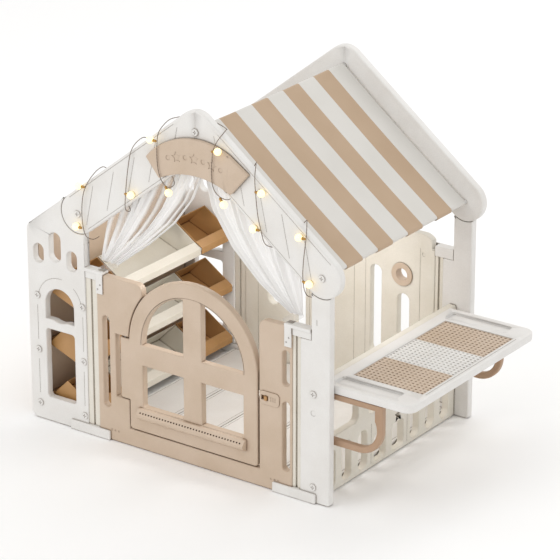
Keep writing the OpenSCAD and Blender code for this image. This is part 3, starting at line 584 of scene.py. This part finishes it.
# ---------- curtains ----------
curtainShapes = {
    "flat": (0.52, 0.56), "rows": 46, "columns": 150, "bundles": 2.9, "folds": 12, "back": -0.363,
    "left": {"side": -1, "top": [(92, 1054), (60, 1018), (-20, 968), (-110, 905), (-200, 838), (-292, 766)],
             "tie": (-304, 596), "tieWidth": 52, "cover": 0.0,
             "inner": [(92, 1054), (84, 985), (40, 890), (-40, 790), (-150, 695), (-288, 592)]},
    "right": {"side": 1, "top": [(94, 1054), (130, 1014), (200, 962), (280, 900), (360, 838), (440, 776)],
              "tie": (441, 592), "tieWidth": 30, "cover": 0.4,
              "inner": [(94, 1054), (96, 985), (125, 880), (205, 765), (310, 668), (428, 592)]},
}


def along(points, u):
    spot = u * (len(points) - 1)
    i = min(int(spot), len(points) - 2)
    return Vector(points[i]).lerp(Vector(points[i + 1]), spot - i)


def buildCurtain(setup, shape):
    # folds fan out from the tie at the post up to the back of the gable board
    bm = bmesh.new()
    uvs = bm.loops.layers.uv.new("clothUV")
    depth = bm.verts.layers.float.new("foldDepth")
    grid = []
    for row in range(setup["rows"] + 1):
        v = row / setup["rows"]
        line = []
        for column in range(setup["columns"] + 1):
            u = column / setup["columns"]
            start = along(shape["top"], u)
            foot = Vector(shape["tie"]) + Vector((shape["side"] * (u - 0.5) * shape["tieWidth"], 0))
            # the free edge follows its own curve, and the folds behind it straighten out
            sagged = along(shape["inner"], v)
            straight = start.lerp(foot, v)
            first = Vector(shape["top"][0]).lerp(Vector(shape["tie"]), v)
            place = straight + (sagged - first) * (1 - u) ** 1.6
            bundle = math.cos(2 * math.pi * (setup["bundles"] * u + 0.12 * math.sin(5 * u)))
            wave = 0.66 * bundle + 0.42 * math.sin(2 * math.pi * setup["folds"] * u + 3 * math.sin(4 * u))
            height = 0.5 + 0.5 * wave
            spread = math.sin(math.pi * min(v * 0.92 + 0.08, 1)) ** 0.6
            y = setup["back"] - wave * 0.012 * (0.35 + 0.65 * spread)
            pinch = Vector((-shape["side"] * 7 * math.sin(2 * math.pi * setup["bundles"] * u) * spread, 0))
            place = place + pinch
            vert = bm.verts.new((place.x / 1000, y, place.y / 1000))
            vert[depth] = min(1.0, height + shape["cover"] + 0.7 * v ** 4 + 0.2 * (1 - v) ** 6)
            line.append((vert, u * setup["flat"][0], v * setup["flat"][1]))
        grid.append(line)
    for upper, lower in zip(grid, grid[1:]):
        for a, b, c, d in zip(upper, upper[1:], lower[1:], lower):
            face = bm.faces.new((a[0], b[0], c[0], d[0]))
            for loop, spot in zip(face.loops, (a, b, c, d)):
                loop[uvs].uv = spot[1:]
    return bm


for side in ("left", "right"):
    curtainMesh = buildCurtain(curtainShapes, curtainShapes[side])
    area = sum(f.calc_area() for f in curtainMesh.faces)
    curtain = finishPiece("curtain_cloth_" + side, curtainMesh, "house", "sheer_fabric",
                          nodes=["curtain_" + side], smooth=180)
    print("curtain", side, "area", round(area, 3))
print("stage: curtains")

# ---------- stage and lights ----------
studio = {
    "floor": "#FFFFFF", "world": (1.0, 0.995, 0.985, 1.0), "worldStrength": 0.92,
    # place, aim, size, power in watts
    "lights": [((-2.4, -5.6, 4.4), (0.1, 0, 0.5), 3.6, 58), ((4.6, -3.4, 3.2), (0, 0, 0.5), 3.4, 4),
               ((0.5, 3.8, 4.2), (0, 0, 0.6), 3.0, 40), ((0.05, -0.15, 0.8), (-0.25, 0.05, 0.3), 0.4, 1.8),
               ((0.25, 0.0, 0.7), (0.1, 0.2, 0.0), 0.4, 1.3)],
}


def buildStage(setup):
    bm = bmesh.new()
    bmesh.ops.create_grid(bm, x_segments=1, y_segments=1, size=30)
    bmesh.ops.translate(bm, vec=(0, 0, -0.0005), verts=bm.verts)
    mesh = bpy.data.meshes.new("floor")
    bm.to_mesh(mesh)
    bm.free()
    floor = bpy.data.objects.new("floor", mesh)
    bpy.context.collection.objects.link(floor)
    material, _ = newMaterial("studio paper", Roughness=0.95, Base_Color=hexColor(setup["floor"]))
    mesh.materials.append(material)
    world = bpy.context.scene.world or bpy.data.worlds.new("world")
    bpy.context.scene.world = world
    world.use_nodes = True
    background = world.node_tree.nodes["Background"]
    background.inputs["Color"].default_value = setup["world"]
    background.inputs["Strength"].default_value = setup["worldStrength"]
    for i, (place, aim, size, power) in enumerate(setup["lights"]):
        data = bpy.data.lights.new("softbox%d" % i, "AREA")
        data.shape = "DISK"
        data.size = size
        data.energy = power
        lamp = bpy.data.objects.new("softbox%d" % i, data)
        lamp.location = place
        lamp.rotation_euler = (Vector(aim) - Vector(place)).to_track_quat("-Z", "Y").to_euler()
        bpy.context.collection.objects.link(lamp)


buildStage(studio)
print("stage: studio")
